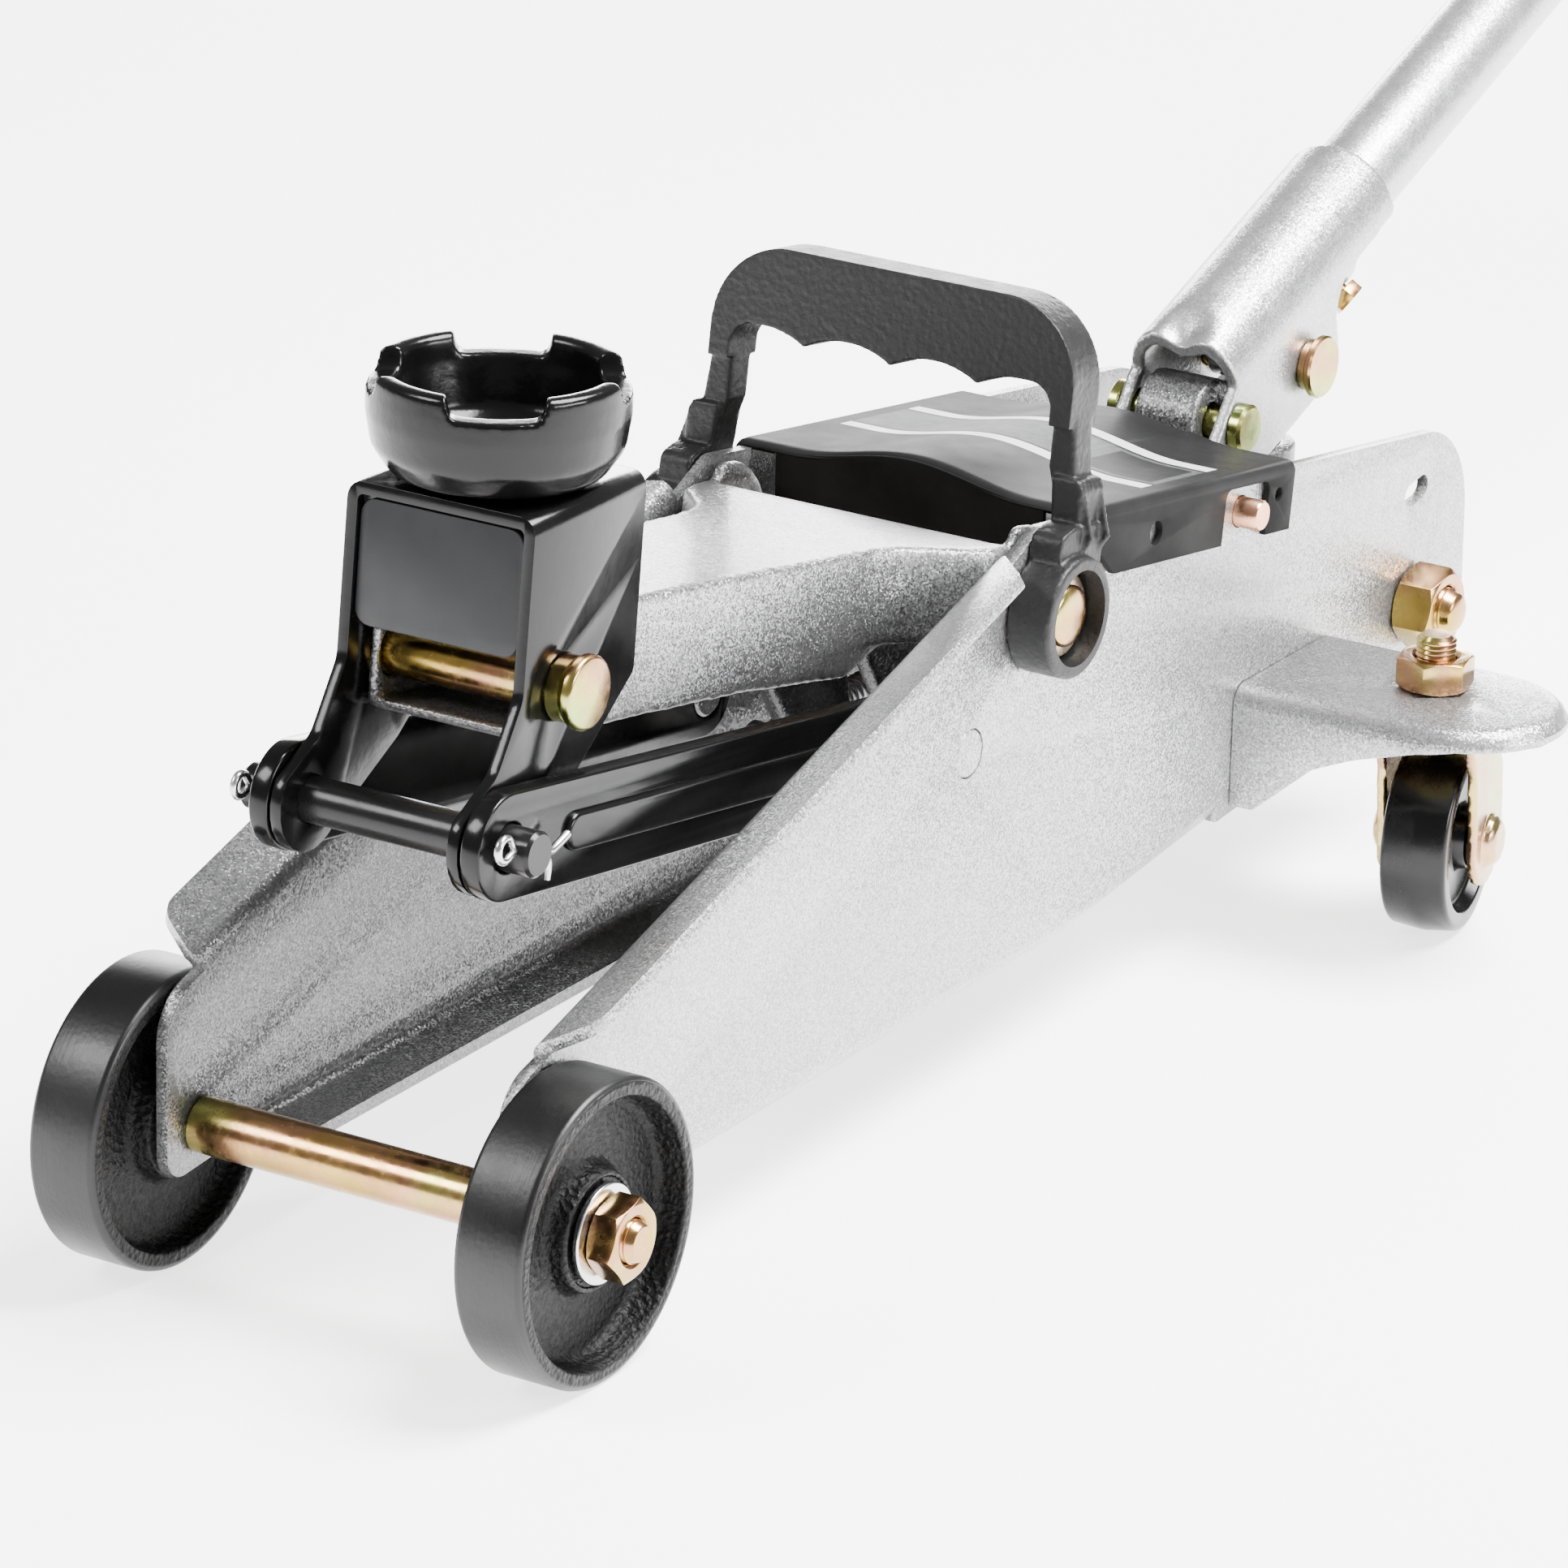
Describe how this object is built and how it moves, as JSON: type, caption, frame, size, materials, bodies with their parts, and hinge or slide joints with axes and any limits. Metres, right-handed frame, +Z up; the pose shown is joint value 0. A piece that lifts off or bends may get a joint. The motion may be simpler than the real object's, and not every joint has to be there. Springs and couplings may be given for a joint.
{
  "type": "car jack",
  "caption": "Low hydraulic trolley jack with front wheels, rear casters, a parallelogram lift arm, swivelling saddle, carrying handle and a pump handle in two sections.",
  "frame": {"origin": "middle of the whole jack's footprint, on the floor", "axes": "+X from the pump handle towards the saddle and front wheels, +Y to the jack's left, +Z up"},
  "size_m": [0.9648, 0.2444, 0.3424],
  "materials": {
    "silver_paint": "metallic silver paint with a fine sparkle",
    "arm_silver_paint": "metallic silver paint with a fine sparkle",
    "socket_silver_paint": "metallic silver paint",
    "tube_silver_paint": "metallic silver paint",
    "yellow_zinc": "iridescent yellow zinc plating",
    "washer_zinc": "yellow zinc plating",
    "fork_zinc": "iridescent yellow zinc plating",
    "white_zinc": "bright white zinc plating",
    "bare_steel": "bare oiled steel",
    "spring_steel": "dark spring steel",
    "cast_iron": "black satin cast iron with a turned tread",
    "black_paint": "gloss black paint",
    "black_pin": "gloss black paint",
    "cover_black": "gloss black paint",
    "saddle_black": "gloss black paint over a casting",
    "dark_plate": "satin dark grey coating",
    "textured_plastic": "matte pebble grain",
    "grip_plastic": "matte ribbed plastic",
    "caster_plastic": "smooth black plastic",
    "plug_rubber": "black rubber",
    "copper_pin": "copper coloured plating"
  },
  "bodies": {
    "chassis": {"side_plate_left": "silver_paint", "side_plate_right": "silver_paint", "front_axle": "yellow_zinc", "front_washer_left": "white_zinc", "front_washer_right": "white_zinc", "front_nut_left": "yellow_zinc", "front_nut_right": "yellow_zinc", "pivot_shaft": "yellow_zinc", "pivot_washer_left": "washer_zinc", "pivot_washer_right": "washer_zinc", "link_rear_pin_left": "silver_paint", "link_rear_pin_right": "silver_paint", "rear_ear_left": "silver_paint", "rear_ear_right": "silver_paint", "caster_stem_left": "yellow_zinc", "caster_stem_right": "yellow_zinc", "caster_nut_left": "yellow_zinc", "caster_nut_right": "yellow_zinc", "pump_block": "silver_paint", "oil_tank": "silver_paint", "filler_plug": "plug_rubber", "return_spring_left": "spring_steel", "return_spring_right": "spring_steel", "tie_rod": "yellow_zinc", "tie_nut_left": "yellow_zinc", "tie_nut_right": "yellow_zinc", "plunger_spring": "spring_steel", "cover": "cover_black", "cover_pin_left": "copper_pin", "cover_pin_right": "copper_pin", "socket_pivot_pin": "yellow_zinc"},
    "lift_arm": {"lift_arm": "arm_silver_paint", "arm_front_pin": "yellow_zinc", "roller_pin": "bare_steel"},
    "ram_roller": {"ram_roller": "bare_steel"},
    "saddle_bracket": {"saddle_bracket": "black_paint", "bracket_front_plate": "dark_plate", "link_front_pin": "black_pin", "cotter_pin_left": "white_zinc", "cotter_pin_right": "white_zinc"},
    "saddle": {"saddle": "saddle_black"},
    "link_bar_left": {"link_bar_left": "black_paint"},
    "link_bar_right": {"link_bar_right": "black_paint"},
    "ram": {"ram": "bare_steel"},
    "front_wheel_left": {"front_wheel_left": "cast_iron"},
    "front_wheel_right": {"front_wheel_right": "cast_iron"},
    "caster_fork_left": {"caster_fork_left": "fork_zinc"},
    "caster_fork_right": {"caster_fork_right": "fork_zinc"},
    "caster_wheel_left": {"caster_wheel_left": "caster_plastic"},
    "caster_wheel_right": {"caster_wheel_right": "caster_plastic"},
    "carry_handle": {"carry_handle": "textured_plastic"},
    "handle_socket": {"handle_socket": "socket_silver_paint", "plunger_pin": "yellow_zinc", "socket_screw": "yellow_zinc"},
    "plunger_roller": {"plunger_roller": "bare_steel"},
    "lower_handle": {"lower_handle": "tube_silver_paint"},
    "upper_handle": {"upper_handle": "tube_silver_paint", "handle_grip": "grip_plastic"},
    "pump_plunger": {"pump_plunger": "bare_steel"},
    "release_valve": {"release_valve": "bare_steel"}
  },
  "joints": [
    {"name": "arm_lift", "type": "hinge", "parent": "chassis", "child": "lift_arm", "pos_m": [0.23937, 0, 0.1145], "axis": [0, -1, 0], "range_deg": [-20.5, 41.5]},
    {"name": "bracket_level", "type": "hinge", "parent": "lift_arm", "child": "saddle_bracket", "pos_m": [0.40692, 0, 0.14014], "axis": [0, -1, 0], "range_deg": [-41.6, 20.6]},
    {"name": "link_left_swing", "type": "hinge", "parent": "chassis", "child": "link_bar_left", "pos_m": [0.26787, 0.028, 0.0872], "axis": [0, -1, 0], "range_deg": [-20.6, 41.6]},
    {"name": "link_right_swing", "type": "hinge", "parent": "chassis", "child": "link_bar_right", "pos_m": [0.26787, -0.028, 0.0872], "axis": [0, -1, 0], "range_deg": [-20.6, 41.6]},
    {"name": "ram_stroke", "type": "slide", "parent": "chassis", "child": "ram", "axis": [1, 0, 0], "range_m": [-0.0185, 0.0371], "deforming": ["return_spring_left", "return_spring_right"]},
    {"name": "ram_roller_spin", "type": "hinge", "parent": "lift_arm", "child": "ram_roller", "pos_m": [0.22962, 0, 0.06139], "axis": [0, 1, 0], "continuous": true},
    {"name": "saddle_swivel", "type": "hinge", "parent": "saddle_bracket", "child": "saddle", "pos_m": [0.3962, 0, 0.18096], "axis": [-0.0174, 0, 0.9998], "continuous": true},
    {"name": "front_wheel_left_roll", "type": "hinge", "parent": "chassis", "child": "front_wheel_left", "pos_m": [0.44737, 0.056, 0.035], "axis": [0, 1, 0], "continuous": true},
    {"name": "front_wheel_right_roll", "type": "hinge", "parent": "chassis", "child": "front_wheel_right", "pos_m": [0.44737, -0.056, 0.035], "axis": [0, 1, 0], "continuous": true},
    {"name": "caster_left_swivel", "type": "hinge", "parent": "chassis", "child": "caster_fork_left", "pos_m": [0.11237, 0.0865, 0.058], "axis": [0, 0, 1], "continuous": true},
    {"name": "caster_right_swivel", "type": "hinge", "parent": "chassis", "child": "caster_fork_right", "pos_m": [0.11237, -0.0865, 0.058], "axis": [0, 0, 1], "continuous": true},
    {"name": "caster_left_roll", "type": "hinge", "parent": "caster_fork_left", "child": "caster_wheel_left", "pos_m": [0.10177, 0.08444, 0.0243], "axis": [-0.1908, 0.9816, 0], "continuous": true},
    {"name": "caster_right_roll", "type": "hinge", "parent": "caster_fork_right", "child": "caster_wheel_right", "pos_m": [0.10177, -0.08444, 0.0243], "axis": [0.1908, 0.9816, 0], "continuous": true},
    {"name": "carry_handle_swing", "type": "hinge", "parent": "chassis", "child": "carry_handle", "pos_m": [0.23937, 0, 0.1145], "axis": [0, 1, 0], "range_deg": [0, 20]},
    {"name": "pump_handle", "type": "hinge", "parent": "chassis", "child": "handle_socket", "pos_m": [0.08737, 0, 0.1125], "axis": [0, 1, 0], "range_deg": [0, 45]},
    {"name": "plunger_roller_spin", "type": "hinge", "parent": "handle_socket", "child": "plunger_roller", "pos_m": [0.05137, 0, 0.1195], "axis": [0, 1, 0], "continuous": true},
    {"name": "pump_stroke", "type": "slide", "parent": "chassis", "child": "pump_plunger", "axis": [0, 0, 1], "range_m": [0, 0.0235], "deforming": ["plunger_spring"]},
    {"name": "handle_twist", "type": "hinge", "parent": "handle_socket", "child": "lower_handle", "pos_m": [0.08737, 0, 0.1219], "axis": [-0.9385, 0, 0.3453], "range_deg": [0, 180]},
    {"name": "valve_turn", "type": "hinge", "parent": "chassis", "child": "release_valve", "pos_m": [0.03937, 0.02, 0.076], "axis": [-1, 0, 0], "range_deg": [-0.5, 180.5]},
    {"name": "upper_handle_pull", "type": "slide", "parent": "lower_handle", "child": "upper_handle", "axis": [-0.9385, 0, 0.3453], "range_m": [0, 0.05]}
  ],
  "couplings": [
    {"joint": "bracket_level", "follows": "arm_lift", "ratio": -1},
    {"joint": "link_left_swing", "follows": "arm_lift", "ratio": 1},
    {"joint": "link_right_swing", "follows": "arm_lift", "ratio": 1},
    {"joint": "ram_stroke", "follows": "arm_lift", "m_per_rad": 0.0505},
    {"joint": "pump_stroke", "follows": "pump_handle", "m_per_rad": 0.0295},
    {"joint": "valve_turn", "follows": "handle_twist", "ratio": 1}
  ]
}
